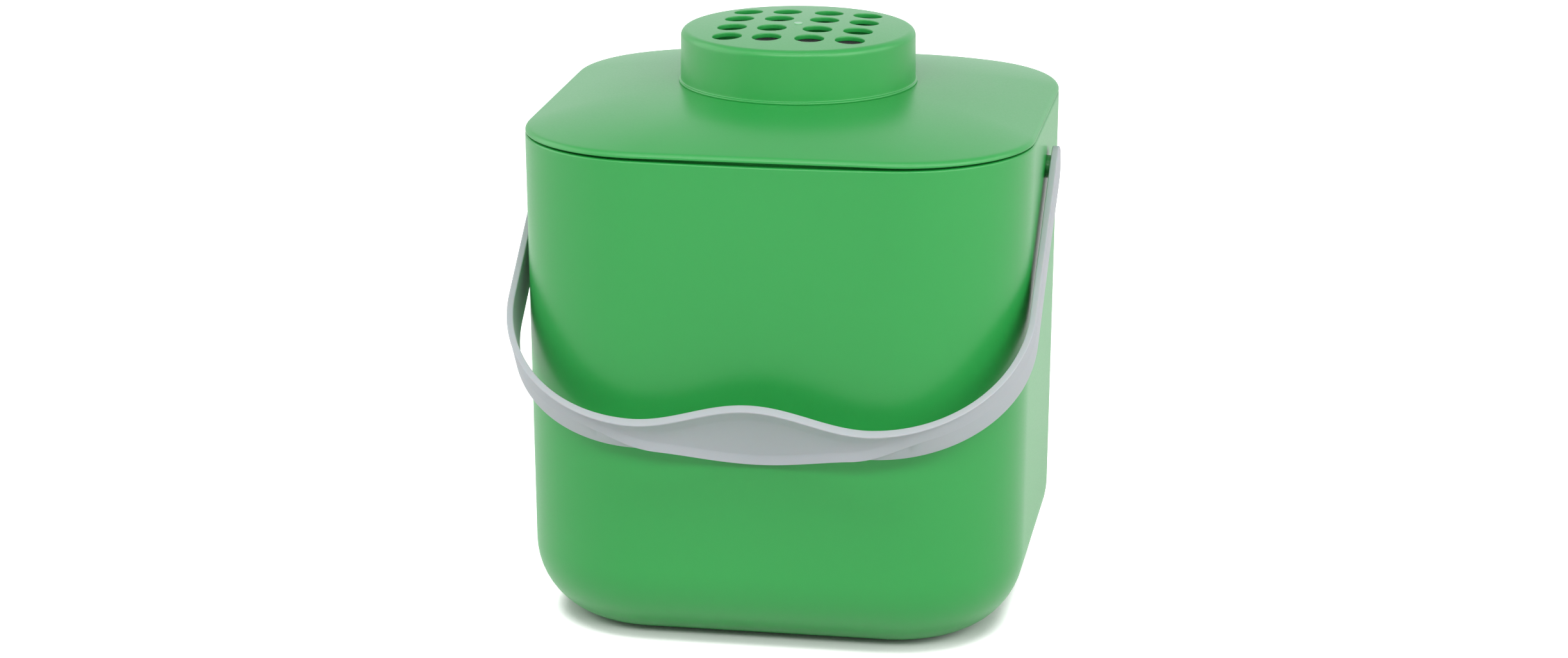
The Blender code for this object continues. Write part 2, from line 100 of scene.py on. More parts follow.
# Camera, as fitted to the photograph: degrees, and metres from the middle of the base
VIEW_AZIMUTH, VIEW_ELEVATION, VIEW_DISTANCE = 9.5374, 16.0859, 1.6117218
VIEW_TARGET = (-0.00607, 0.0, 0.11024)
SENSOR_MM, FOCAL_PIXELS, PICTURE_PIXELS = 36.0, 5879.7879, 2447

# Studio. A lamp has its place and size in metres, its power in watts and its colour. The one behind
# is a little blue, which shows in the sheen of the lid, and all of them face LAMP_AIM.
WHITE, COOL_WHITE = (1.0, 1.0, 1.0), (0.7, 0.86, 1.0)
ROOM_LIGHT, LAMP_AIM = 0.1, (0, 0, 0.1)
LAMPS = (
    ("key", (0.00, -0.88, 1.90), (2.4, 0.4), 9, WHITE),
    ("front", (0.11, -1.61, 1.28), (2.2, 0.4), 17, WHITE),
    ("right front", (1.52, -0.95, 0.98), (1.2, 1.2), 14, WHITE),
    ("right side", (1.87, 0.16, 0.78), (1.2, 1.2), 7.5, WHITE),
    ("left side", (-1.86, -0.26, 0.78), (2.6, 2.2), 26, WHITE),
    ("back", (0.26, 1.84, 0.85), (2.4, 1.6), 2.2, COOL_WHITE))

# Paper under the pail. Its own light goes from none to FLOOR_LIFT as the share of open air within
# SHADE_REACH metres goes through SHADE_STEP, and reflections see REFLECTED_LIFT of it.
HALF_FLOOR, FLOOR_LIFT, REFLECTED_LIFT, SHADE_REACH, SHADE_STEP = 6, 1.0, 0.55, 0.014, (0.42, 0.64)


# Shapes

def smooth_step(value):
    """0 below 0, 1 above 1, and 3v^2 - 2v^3 between them."""
    v = np.clip(value, 0.0, 1.0)
    return v * v * (3.0 - 2.0 * v)


def filleted(corners, steps=6, longest=8.0):
    """A line through corners given as (a, b, radius), with each inner corner turned into an arc that
    is tangent to both of its lines, and the straight runs cut into steps of up to longest, with a
    point close to each arc so that the shading of a flat run stays flat."""
    points = np.array([c[:2] for c in corners], float)
    runs = [points[:1]]
    for before, here, after, (_, _, radius) in zip(points, points[1:], points[2:], corners[1:-1]):
        back = (before - here) / np.linalg.norm(before - here)
        ahead = (after - here) / np.linalg.norm(after - here)
        half = math.acos(np.clip(back @ ahead, -1, 1)) / 2
        middle = here + (back + ahead) / np.linalg.norm(back + ahead) * radius / math.sin(half)
        start = here + back * radius / math.tan(half) - middle
        turn = np.linspace(0.0, math.pi - 2 * half, steps + 1)[:, None]
        side = np.array([-start[1], start[0]])
        side *= math.copysign(1.0, side @ (here + ahead - middle - start))
        runs.append(middle + start * np.cos(turn) + side * np.sin(turn))
    runs.append(points[-1:])
    line = [runs[0]]
    for one, two in zip(runs, runs[1:]):
        gap = two[0] - one[-1]
        length = np.linalg.norm(gap)
        if length > 0.05:
            inside = np.linspace(0.0, 1.0, int(length / longest) + 2)[1:-1]
            near = min(0.25, 0.8 / length)
            shares = np.unique(np.concatenate([[near], inside, [1 - near]]))
            line.append(one[-1] + gap * shares[:, None])
        line.append(two)
    return np.concatenate(line)


def plan_frame():
    """Foot points and outward unit vectors of the rounded-square outline, anticlockwise from +X: the
    outline moved in by d is foot + (corner radius - d) * outward, so all its offsets share points."""
    across, along = WIDTH / 2 - CORNER_RADIUS, DEPTH / 2 - CORNER_RADIUS
    middles = np.array([[across, along], [-across, along], [-across, -along], [across, -along]])
    arc = np.linspace(0.0, math.pi / 2, CORNER_STEPS + 1)
    side = np.arange(1, SIDE_STEPS) / SIDE_STEPS
    feet, headings = [], []
    for quarter in range(4):
        one, two = middles[quarter], middles[(quarter + 1) % 4]
        feet += [np.repeat(one[None], len(arc), 0), one + (two - one) * side[:, None]]
        headings += [arc + quarter * math.pi / 2, np.full(len(side), (quarter + 1) * math.pi / 2)]
    feet = np.roll(np.concatenate(feet), SIDE_STEPS // 2, axis=0)
    heading = np.roll(np.concatenate(headings), SIDE_STEPS // 2)
    return feet, np.column_stack([np.cos(heading), np.sin(heading)])


FEET, OUTWARD = plan_frame()
RING_COUNT = len(FEET)
# Bearings of the points of a ring, spaced evenly or as they lie on the rounded square. Both run up
# from about 0 without a jump of a whole turn, so that a blend of the two goes the short way round.
EVEN_BEARINGS = np.arange(RING_COUNT) * 2 * math.pi / RING_COUNT
RIM_X, RIM_Y = (FEET + CORNER_RADIUS * OUTWARD).T
RIM_BEARINGS = np.unwrap(np.arctan2(RIM_Y, RIM_X))


def square_rings(line):
    """Rings of the rounded square for a line of (inset, height) points."""
    line = np.asarray(line, float)
    plan = FEET[None] + (CORNER_RADIUS - line[:, :1, None]) * OUTWARD[None]
    height = np.broadcast_to(line[:, 1, None, None], plan.shape[:2] + (1,))
    return np.concatenate([plan, height], axis=2)


def round_rings(line, bearings=EVEN_BEARINGS):
    """Rings turned round Z for a line of (radius, height) points; bearings may differ from ring to
    ring, which slides the points along the circle and leaves the surface where it is."""
    line = np.asarray(line, float)
    bearings = np.broadcast_to(bearings, (len(line), np.shape(bearings)[-1]))
    radius = line[:, 0, None]
    height = np.broadcast_to(line[:, 1, None], bearings.shape)
    return np.stack([radius * np.cos(bearings), radius * np.sin(bearings), height], axis=2)


def rings_along_x(line, middle):
    """Rings turned round an axis along X through middle (y, z), for a line of (radius, x) points."""
    turned = round_rings(line)
    return np.stack([turned[..., 2], middle[0] + turned[..., 0], middle[1] + turned[..., 1]], axis=2)


def sheet_faces(rows, columns, first):
    """Quads that join each ring to the next, where a ring of columns points closes on itself and
    the first point of the first ring has the number first."""
    row, column = np.meshgrid(np.arange(rows - 1), np.arange(columns), indexing="ij")
    near, far = first + row * columns, first + (row + 1) * columns
    after = (column + 1) % columns
    return np.stack([near + column, near + after, far + after, far + column], axis=2).reshape(-1, 4)


def piece(name, sheets, body, node, material, closed_ends=False):
    """Makes one object from stacks of rings in millimetres. Points closer than WELD become one, so
    sheets that share an outline are joined. With closed_ends an open end is filled to its middle. A
    seam whose two sides don't quite meet, such as the handle's rounded ends, is filled as well. Faces
    are then turned outwards and shaded smooth, except across corners over SHARP_ANGLE."""
    vertices, faces, fans = [], [], []
    count = 0
    for sheet in sheets:
        rows, columns = sheet.shape[:2]
        vertices.append(sheet.reshape(-1, 3))
        faces.append(sheet_faces(rows, columns, count))
        if closed_ends:
            for row in (0, rows - 1):
                vertices.append(sheet[row].mean(axis=0)[None])
                hub = count + rows * columns + (row > 0)
                rim = count + row * columns + np.arange(columns)
                fans.append(np.stack([rim, np.roll(rim, -1), np.full(columns, hub)], axis=1))
            count += 2
        count += rows * columns
    mesh = bpy.data.meshes.new(name)
    corner_lists = np.concatenate(faces).tolist() + (np.concatenate(fans).tolist() if fans else [])
    mesh.from_pydata(np.concatenate(vertices) * MM, [], corner_lists)
    shape = bmesh.new()
    shape.from_mesh(mesh)
    bmesh.ops.remove_doubles(shape, verts=shape.verts, dist=WELD * MM)
    bmesh.ops.dissolve_degenerate(shape, edges=shape.edges, dist=WELD * MM / 4)
    bmesh.ops.holes_fill(shape, edges=[edge for edge in shape.edges if edge.is_boundary], sides=0)
    bmesh.ops.recalc_face_normals(shape, faces=shape.faces)
    shape.to_mesh(mesh)
    shape.free()
    mesh.shade_smooth()
    mesh.set_sharp_from_angle(angle=math.radians(SHARP_ANGLE))
    mesh.materials.append(material)
    thing = bpy.data.objects.new(name, mesh)
    bpy.context.scene.collection.objects.link(thing)
    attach(thing, body)
    if node:
        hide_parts(node)
    return thing


# Pail

def pail_rings():
    """The tub as one skin: under the base, round its bottom edge, up the tapered wall, over the
    rounded rim and down the inside. Inset grows with depth by the mould's draft. Then the rim's
    height falls by dip * e^(-(x / length)^2), faded out towards the sides and down the wall."""
    foot = DRAFT * RIM_Z
    flat = CORNER_RADIUS - MIDDLE_RADIUS
    rings = square_rings(filleted([
        (flat, 0.0, 0), (foot, 0.0, BASE_RADIUS), (0.0, RIM_Z, RIM_EDGE_RADIUS),
        (WALL, RIM_Z, RIM_EDGE_RADIUS), (foot + WALL, WALL, BASE_RADIUS - WALL), (flat, WALL, 0)],
        steps=14, longest=7.0))
    x, y, z = np.moveaxis(rings, 2, 0)
    middle = np.exp(-(x / DIP_LENGTH) ** 2) * smooth_step((np.abs(y) - DIP_SIDES[0]) / DIP_SIDES[1])
    rings[..., 2] -= RIM_DIP * middle * smooth_step((z - RIM_Z + DIP_DEPTH) / DIP_DEPTH)
    return rings


def wall_x_at_hinge():
    """Where the outside of the tapered side wall is at the height of the hinge."""
    return WIDTH / 2 - DRAFT * (RIM_Z - HINGE_Z)


def boss_rings(side):
    """A short tube round the socket: out along its bore, over the rounded face and back on its
    outside, so the first and last rings lie inside the wall."""
    root = wall_x_at_hinge() - WALL / 2
    face = wall_x_at_hinge() + BOSS_STAND
    line = filleted([
        (SOCKET_RADIUS, root, 0), (SOCKET_RADIUS, face, 0.3), (BOSS_RADIUS, face, 0.4),
        (BOSS_RADIUS, root, 0)], steps=4)
    line = np.concatenate([line, line[:1]])
    return rings_along_x(line * (1, side), (HINGE_Y, HINGE_Z))


def pierce(thing, radius, middle, half_length):
    """Cuts a round hole along X through a piece."""
    shape = bmesh.new()
    cylinder = bmesh.ops.create_cone(shape, cap_ends=True, segments=48, radius1=radius * MM,
                                     radius2=radius * MM, depth=2 * half_length * MM)
    for corner in cylinder["verts"]:
        x, y, z = corner.co
        corner.co = (z, middle[0] * MM - y, middle[1] * MM + x)
    mesh = bpy.data.meshes.new("bore")
    shape.to_mesh(mesh)
    shape.free()
    bore = bpy.data.objects.new("bore", mesh)
    bpy.context.scene.collection.objects.link(bore)
    cut = thing.modifiers.new("bore", "BOOLEAN")
    cut.operation = "DIFFERENCE"
    cut.solver = "EXACT"
    cut.object = bore
    depsgraph = bpy.context.evaluated_depsgraph_get()
    made = bpy.data.meshes.new_from_object(thing.evaluated_get(depsgraph))
    thing.modifiers.clear()
    thing.data = made
    bpy.data.objects.remove(bore)
    made.set_sharp_from_angle(angle=math.radians(SHARP_ANGLE))


# Lid

def dome_start():
    """Inset and height where the lip's rounded edge runs into the dome."""
    turn = math.radians(LIP_EDGE_TURN)
    return LIP_EDGE_RADIUS * (1 - math.cos(turn)), LIP_Z + LIP_EDGE_RADIUS * math.sin(turn)


def seat_z():
    """Height of the flat ring under the vent cap."""
    return dome_start()[1] + DOME_RISE - DOME_ROUNDING


def dome_rings(shares, drop=0.0):
    """Rings of the dome: at share s a ring is (1 - s) of the rim's outline and s of the vent seat's
    circle, at height low + rise * s - rounding * s^2."""
    inset, low = dome_start()
    s = np.asarray(shares, float)
    z = low + DOME_RISE * s - DOME_ROUNDING * s ** 2 - drop
    edge = square_rings(np.column_stack([np.full(len(s), inset), z]))
    seat = round_rings(np.column_stack([np.full(len(s), SEAT_RADIUS), z]), RIM_BEARINGS)
    return edge + (seat - edge) * s[:, None, None]


def lid_rings():
    """The lid as one skin: out under the dome, round the plug skirt, round the lip, over the dome to
    the vent seat, and over the collar. Both ends stop at the vent floor's edge."""
    floor_z = seat_z()
    skirt_z = RIM_Z - SKIRT_DEPTH
    inner = SKIRT_INSET + SKIRT_THICKNESS
    slide = np.linspace(0.0, 1.0, 5)[:, None]
    under_radii = np.linspace(COLLAR_INNER, SEAT_RADIUS - 1, 5)
    under_seat = round_rings(np.column_stack([under_radii, np.full(5, floor_z - LID_WALL)]),
                             EVEN_BEARINGS + (RIM_BEARINGS - EVEN_BEARINGS) * slide)
    under_dome = dome_rings(np.linspace(1.0, 0.12, 22), LID_WALL)
    corner = dome_rings([0.07], LID_WALL)[0]
    inside = square_rings([(inner + 0.1, RIM_Z - 1.5)])[0]
    t = np.linspace(0.0, 1.0, 8)[1:, None, None]
    into_skirt = (1 - t) ** 2 * under_dome[-1] + 2 * t * (1 - t) * corner + t ** 2 * inside
    turn = np.radians(np.linspace(0.0, LIP_EDGE_TURN, 13))
    lip_edge = np.column_stack([
        LIP_EDGE_RADIUS * (1 - np.cos(turn)), LIP_Z + LIP_EDGE_RADIUS * np.sin(turn)])
    skirt = square_rings(filleted([
        (inner + 0.1, RIM_Z - 1.5, 0), (inner + SKIRT_TAPER, skirt_z, 0.5),
        (SKIRT_INSET + SKIRT_TAPER, skirt_z, 0.5), (SKIRT_INSET, RIM_Z - 0.2, 0.3),
        (SEAT_INSETS[1], RIM_Z + REST_GAP, 0.4), (SEAT_INSETS[0], RIM_Z + REST_GAP, 0.2),
        (SEAT_INSETS[0], LIP_Z, 0.2), (0.0, LIP_Z, 0.35), (*lip_edge[3], 0)], steps=5)[1:])
    lip = square_rings(lip_edge[4:])
    even = np.linspace(0.0, 1.0, 40)
    closer_at_lip = 1 - np.cos(np.linspace(0.0, math.pi / 2, 40))
    dome = dome_rings((closer_at_lip * 0.35 + even * 0.65)[1:])
    top = floor_z + COLLAR_HEIGHT
    radii = np.linspace(SEAT_RADIUS, COLLAR_OUTER + 1, 5)[1:]
    seat = round_rings(np.column_stack([radii, np.full(4, floor_z)]),
                       RIM_BEARINGS + (EVEN_BEARINGS - RIM_BEARINGS) * slide[1:])
    collar = round_rings(filleted([
        (COLLAR_OUTER + 1, floor_z, 0), (COLLAR_OUTER, floor_z, 0.3), (COLLAR_OUTER, top, 0.6),
        (COLLAR_INNER, top, 0.6), (COLLAR_INNER, floor_z, 0)], steps=5)[1:])
    return np.concatenate([under_seat, under_dome, into_skirt, skirt, lip, dome, seat, collar])


def wall_loop(number_of_cells, inner, outer, spoke, across, radial):
    """Closed four-sided loops, one for each of a ring of cells, as (cell, point, xy): along the outer
    arc, in beside the spoke, back along the inner arc and out again. The sides stay half a spoke's
    width away from the line between two cells, so a width of 0 gives the cell itself."""
    middle = np.arange(number_of_cells)[:, None] * 2 * math.pi / number_of_cells
    share = np.linspace(-1.0, 1.0, across + 1)[:-1]
    inward = np.linspace(outer, inner, radial + 1)[:-1]
    radius = np.concatenate([
        np.full(across, outer), inward, np.full(across, inner), inner + outer - inward])
    share = np.concatenate([share, np.ones(radial), -share, -np.ones(radial)])
    half = math.pi / number_of_cells - np.arcsin(spoke / 2 / radius)
    bearing = middle + half * share
    return np.stack([radius * np.cos(bearing), radius * np.sin(bearing)], axis=2)


def pierced_plate(holes, cells, top, bottom, edge, shrink=1.0):
    """Both faces of a plate and the wall of each hole in it. holes and cells are matching loops, as
    (hole, point, xy). Rows run from the cell's outline in to the hole, over its edge, rounded to
    radius edge, down the wall and out again on the underside, where the outlines of the cells are
    scaled by shrink. top and bottom give the heights over a point of the plan."""
    turn = np.linspace(0.0, math.pi / 2, 5)
    out = edge * (1 - np.sin(turn))
    down = edge * (1 - np.cos(turn))
    far = np.array([1.0, 0.7, 0.42, 0.2, 0.06])
    sheets = []
    for height, sign, scale in ((top, -1, 1.0), (bottom, 1, shrink)):
        gap = cells * scale - holes
        length = np.linalg.norm(gap, axis=2)[:, None]
        reach = np.concatenate([edge + (length - edge) * far[:, None], np.broadcast_to(
            out[:, None], (len(holes), len(out), holes.shape[1]))], axis=1)
        plan = holes[:, None] + (gap[:, None] / length[..., None]) * reach[..., None]
        sink = np.concatenate([np.zeros(len(far)), down])[None, :, None]
        z = height(plan[..., 0], plan[..., 1]) + sign * sink
        sheets.append(np.concatenate([plan, z[..., None]], axis=3))
    return np.concatenate([sheets[0], sheets[1][:, ::-1]], axis=1)


def vent_floor():
    """The spoked floor: eight openings round four, with the hub and the joints between them solid.
    Its outline has as many points as every ring, so that it meets the seat and the collar."""
    floor_z = seat_z()

    def top(x, y):
        return np.full(x.shape, floor_z)

    def bottom(x, y):
        return np.full(x.shape, floor_z - LID_WALL)

    plates = []
    for number, slots, cells_reach in ((8, OUTER_SLOTS, (SLOT_JOIN_RADIUS, COLLAR_INNER)),
                                       (4, INNER_SLOTS, (HUB_RADIUS, SLOT_JOIN_RADIUS))):
        across = RING_COUNT // number
        holes = wall_loop(number, *slots, SPOKE_WIDTH, across, SLOT_STEPS)
        cells = wall_loop(number, *cells_reach, 0.0, across, SLOT_STEPS)
        plates += list(pierced_plate(holes, cells, top, bottom, SLOT_EDGE))
    hub = [round_rings([(HUB_RADIUS, z), (HUB_RADIUS / 2, z), (0.0, z)])
           for z in (floor_z, floor_z - LID_WALL)]
    return plates + hub


# Filter and cap

def filter_rings():
    """The felt disc: a rounded slab turned round Z."""
    low = seat_z() + REST_GAP
    high = low + FILTER_THICKNESS
    return round_rings(filleted([
        (0.0, high, 0), (FILTER_RADIUS, high, FILTER_EDGE), (FILTER_RADIUS, low, FILTER_EDGE),
        (0.0, low, 0)], steps=5, longest=4.0))


def crown_z(x, y, thickness=0.0):
    """Height of the cap's top: level plus crown * (1 - (radius / reach)^2), less a thickness."""
    reach = CAP_TOP_RADIUS - CAP_EDGE_RADIUS
    return CAP_TOP_Z + CAP_CROWN * (1 - (x * x + y * y) / reach ** 2) - thickness


def square_to_disc(u, v, radius):
    """x = u * sqrt(1 - v^2 / 2) and y = v * sqrt(1 - u^2 / 2), times radius: a square's outline goes
    to the circle and straight grid lines bow outwards."""
    return np.stack([u * np.sqrt(1 - v * v / 2), v * np.sqrt(1 - u * u / 2)], axis=-1) * radius


def cap_cells():
    """The cap's round top cut into four by four cells, one round each hole. Returns the hole circles
    and cell outlines as matching loops; a hole's point lies on the line from the hole's middle to
    its cell's point, so the faces run straight out from the hole."""
    reach = CAP_TOP_RADIUS - CAP_EDGE_RADIUS
    lines = np.array([-1.0, -CELL_LINE, 0.0, CELL_LINE, 1.0])
    walk = np.arange(CELL_STEPS) / CELL_STEPS
    still = np.zeros(CELL_STEPS)
    across = np.concatenate([walk, still + 1, 1 - walk, still])
    along = np.concatenate([still, walk, still + 1, 1 - walk])
    column, row = [index.reshape(-1, 1) for index in np.meshgrid(np.arange(4), np.arange(4))]
    u = lines[column] + (lines[column + 1] - lines[column]) * across
    v = lines[row] + (lines[row + 1] - lines[row]) * along
    cells = square_to_disc(u, v, reach)
    far, near = SIDE_HOLES
    spots = np.array([[(INNER_HOLES, INNER_HOLES), (near, far)],
                      [(far, near), (CORNER_HOLES, CORNER_HOLES)]])
    outer = np.array([1, 0, 0, 1])
    sign = np.array([-1, -1, 1, 1])
    middles = spots[outer[column[:, 0]], outer[row[:, 0]]] * np.hstack([sign[column], sign[row]])
    ray = cells - middles[:, None]
    holes = middles[:, None] + HOLE_RADIUS * ray / np.linalg.norm(ray, axis=2)[..., None]
    return holes, cells


def cap_sheets():
    """The pierced top, and the wall turned round Z: over the rounded shoulder, down the side, round
    the bead at the foot and up the inside. The wall's bearings are those of the top's outline."""
    def roof(x, y):
        return crown_z(x, y, CAP_ROOF)

    holes, cells = cap_cells()
    reach = CAP_TOP_RADIUS - CAP_EDGE_RADIUS
    under_reach = CAP_TOP_RADIUS - CAP_WALL - CAP_EDGE_RADIUS / 2
    walk = np.arange(4 * CELL_STEPS)
    lines = np.interp(walk / CELL_STEPS, np.arange(5), [-1.0, -CELL_LINE, 0.0, CELL_LINE, 1.0])
    one = np.ones(len(walk))
    u = np.concatenate([lines, one, -lines, -one])
    v = np.concatenate([-one, lines, one, -lines])
    rim = square_to_disc(u, v, 1.0)
    bearings = np.arctan2(rim[:, 1], rim[:, 0])
    top = pierced_plate(holes, cells, crown_z, roof, HOLE_EDGE, under_reach / reach)
    foot = seat_z() + FOOT_GAP
    bead_top = foot + BEAD_HEIGHT
    inner = CAP_RADIUS - CAP_WALL
    slope = 2 * CAP_CROWN / reach
    under = roof(under_reach, 0.0)
    line = filleted([
        (reach, CAP_TOP_Z, 0),
        (CAP_TOP_RADIUS, CAP_TOP_Z - slope * CAP_EDGE_RADIUS, CAP_EDGE_RADIUS * 0.95),
        (CAP_RADIUS, bead_top, 0.5), (BEAD_RADIUS, bead_top, 0.5), (BEAD_RADIUS, foot, 0.15),
        (inner, foot, 0.4), (CAP_TOP_RADIUS - CAP_WALL, under, 1.2), (under_reach, under, 0)],
        steps=7, longest=4.0)
    return list(top) + [round_rings(line, bearings)]


def gate_rings():
    """The scar where the cap was filled: a flat button with a rounded edge, sunk in the crown."""
    top = crown_z(0.0, 0.0) + GATE_RISE
    root = crown_z(0.0, 0.0) - GATE_ROOT
    return round_rings(filleted([
        (0.0, top, 0), (GATE_RADIUS, top, 0.2), (GATE_RADIUS, root, 0), (0.0, root, 0)], steps=4),
        EVEN_BEARINGS[::6])


# Handle

def handle_stations():
    """Middle line of the strap from the right hinge to the left one, as (x, t), t being the distance
    along the arm from the hinge, with a unit vector out of the strap's face at each station. The
    grip is a shallow cosine arch, then x = a + b * cos(w)^p and t = c + d * sin(w)^p turn into
    the straight arm, which splays towards the hinge."""
    grip_x = np.linspace(0.0, GRIP_HALF_LENGTH, 49)
    arch = GRIP_ARCH * (1 + np.cos(math.pi * grip_x / GRIP_HALF_LENGTH)) / 2
    grip = np.column_stack([grip_x, REACH - arch])
    turn = np.radians(np.linspace(90.0, 0.0, 61))[1:-1]
    bend = np.column_stack([
        GRIP_HALF_LENGTH + (STRAP_X - GRIP_HALF_LENGTH) * np.cos(turn) ** (2 / BEND_POWER),
        ARM_STRAIGHT + (REACH - ARM_STRAIGHT) * np.sin(turn) ** (2 / BEND_POWER)])
    arm_t = np.linspace(ARM_STRAIGHT, 0.0, 25)
    arm = np.column_stack([np.full(len(arm_t), STRAP_X), arm_t])
    half = np.concatenate([grip, bend, arm])
    half[:, 0] *= 1 + STRAP_SPLAY / STRAP_X * (1 - half[:, 1] / REACH)
    path = np.concatenate([half[::-1], half[1:] * (-1, 1)])
    along = np.gradient(path, axis=0)
    along /= np.linalg.norm(along, axis=1)[:, None]
    return path, np.column_stack([along[:, 1], -along[:, 0]])


def strap_outline(x, t):
    """Section of the strap at each station, as arrays of n across its width and r out of its face.

    The outer face is sunk between two lips. From the crest of a lip of height h the face falls by
    (h + sink) * (1 - (1 - s)^p) over the lip's slope, s being the share of that slope, so both edges
    stand up round a hollow. The grip's half width is its end width plus a raised cosine. The lower
    lip starts in mid-face at x = LIP_START, crosses the face and from LOWER_LIP_FULL is the edge.
    The arms have a shallow hollow under a faint top lip, which fades out towards the hinge."""
    x = np.abs(x)[:, None]
    t = t[:, None]
    half = np.interp(t, *HALF_WIDTHS)
    spread = (1 + np.cos(math.pi * np.minimum(x / GRIP_SPREAD, 1.0))) / 2
    edge = half + (GRIP_UPPER_EDGE - half) * spread
    lower = half + (GRIP_LOWER_EDGE - half) * spread
    arrived = smooth_step((LIP_START - x) / (LIP_START - LOWER_LIP_FULL))
    on_arm = smooth_step((t - ARM_FADE[0]) / (ARM_FADE[1] - ARM_FADE[0]))
    rising = smooth_step((TOP_LIP_FADE[0] - x) / (TOP_LIP_FADE[0] - TOP_LIP_FADE[1]))
    top_lip = ARM_LIP * on_arm + (LIP_RISE - ARM_LIP) * rising
    low_lip = LIP_RISE * arrived
    sink = ARM_SINK * on_arm + (HOLLOW_SINK - ARM_SINK) * arrived
    crest = -lower * arrived
    bottom = np.minimum(crest, -half)
    inner = -STRAP_THICKNESS / 2
    skin = STRAP_THICKNESS / 2 + END_THICKENING * smooth_step(1 - t / END_LENGTH)
    c = STRAP_ROUND
    on_face = smooth_step((crest - bottom) / (3 * c))
    arc = np.radians(np.linspace(0.0, 90.0, 6))[None]
    rise, run = np.sin(arc), np.cos(arc)

    share = np.linspace(0.0, 1.0, 11)[None, 1:]
    start, end = edge - c, crest + c
    top_slope, low_slope = [
        on_arms + (np.minimum(longest, share_of_face * (start - end)) - on_arms) * arrived
        for on_arms, (longest, share_of_face) in zip(ARM_SLOPES, (TOP_SLOPE, LOW_SLOPE))]
    fall = (1 - share) ** SLOPE_POWER
    climb = fall[:, ::-1]
    foot = crest - 0.75 * (crest - bottom) * on_face
    over_back = np.array([[0.02, 0.25, 0.5, 0.75, 0.98]])
    # Round the section from the upper edge: both of its corners, the hollow between its slopes, the
    # lower lip, the plain strip under that lip, the lower edge and the back. The strip lies a few
    # hundredths low, so that no point of it meets one of the lip where the lip is the edge.
    parts = [
        (edge - c + c * rise, inner + c - c * run),
        (edge - c + c * run, skin + top_lip - c + c * rise),
        (start - top_slope * share, skin - sink + (top_lip + sink) * fall),
        (end + low_slope * share[:, ::-1], skin - sink + (low_lip + sink) * climb),
        (crest + c - c * rise, skin + low_lip - c * low_lip / LIP_RISE * (1 - run)),
        (foot, skin - 0.02),
        (bottom + c * on_face, skin - 0.03),
        (bottom + c * on_face * (1 - rise), skin - c + c * run - 0.03),
        (bottom + c * (1 - run), inner + c - c * rise),
        (bottom + c + (edge - bottom - 2 * c) * over_back, inner + 0 * x)]
    n, r = zip(*[np.broadcast_arrays(*part) for part in parts])
    return np.concatenate(n, axis=1), np.concatenate(r, axis=1)


def hang(x, n, t):
    """Turns points of the handle's own frame (x, n across the strap, t along the arm) to its rest."""
    angle = math.radians(HANG_ANGLE)
    cos, sin = math.cos(angle), math.sin(angle)
    return np.stack([x, HINGE_Y - n * cos - t * sin, HINGE_Z + n * sin - t * cos], axis=-1)


def handle_sheet():
    """The bail: its section carried along the middle line. Past each hinge the section turns about
    the hinge, n * cos(w) across and |n| * sin(w) onwards, so the two halves of the section meet in
    a rounded end."""
    path, outward = handle_stations()
    n, r = strap_outline(path[:, 0], path[:, 1])
    x = path[:, :1] + outward[:, :1] * r
    t = path[:, 1:] + outward[:, 1:] * r
    turn = np.radians(np.linspace(0.0, 90.0, 19))[1:, None]
    ends = []
    for k, order in ((0, slice(None, None, -1)), (-1, slice(None))):
        onwards = np.abs(n[k]) * np.sin(turn)
        end = (np.broadcast_to(x[k], onwards.shape), n[k] * np.cos(turn), t[k] - onwards)
        ends.append([part[order] for part in end])
    x, n, t = [np.concatenate(parts) for parts in zip(ends[0], (x, n, t), ends[1])]
    return hang(x, n, t)


def stud_rings(side):
    """The snap stud: a shank through the wall with a cone-shaped head behind it."""
    inner_wall = wall_x_at_hinge() - WALL
    head = inner_wall - REST_GAP
    nose = head - STUD_HEAD_LENGTH
    line = filleted([
        (0.0, nose, 0), (STUD_NOSE_RADIUS, nose, 0.5), (STUD_HEAD_RADIUS, head, 0.25),
        (STUD_RADIUS, head, 0.2), (STUD_RADIUS, STRAP_X, 0), (0.0, STRAP_X, 0)], steps=4)
    return rings_along_x(line * (1, side), (HINGE_Y, HINGE_Z))


# Materials

FLOW_MM, GRAIN_MM, GRAIN_ROUGHNESS = 70.0, 0.9, 0.02
# Cells of the felt's noise to the metre: 1.1 mm for the fibres and 6.3 mm for the clumps
FELT_FIBRES, FELT_CLUMPS = 900.0, 160.0


def linear(code):
    """An sRGB hex colour as linear red, green, blue and 1."""
    values = np.array([int(code[k:k + 2], 16) for k in (1, 3, 5)]) / 255
    bright = ((values + 0.055) / 1.055) ** 2.4
    return (*np.where(values <= 0.04045, values / 12.92, bright), 1.0)


def add(tree, kind, inputs=None, **settings):
    """Adds a node. settings are its properties; each of inputs is a value, or a socket to link."""
    made = tree.nodes.new(kind)
    for name, value in settings.items():
        setattr(made, name, value)
    for name, value in (inputs or {}).items():
        if isinstance(value, bpy.types.NodeSocket):
            tree.links.new(value, made.inputs[name])
        else:
            made.inputs[name].default_value = value
    return made


def blend(tree, share, one, two):
    """The colour that goes from one to two as share, a socket, goes from 0 to 1."""
    mix = add(tree, "ShaderNodeMix", {0: share, 6: one, 7: two}, data_type="RGBA")
    return mix.outputs[2]


def new_material(name):
    """An empty node material with its output node."""
    material = bpy.data.materials.new(name)
    material.use_nodes = True
    tree = material.node_tree
    tree.nodes.clear()
    return material, tree, tree.nodes.new("ShaderNodeOutputMaterial")


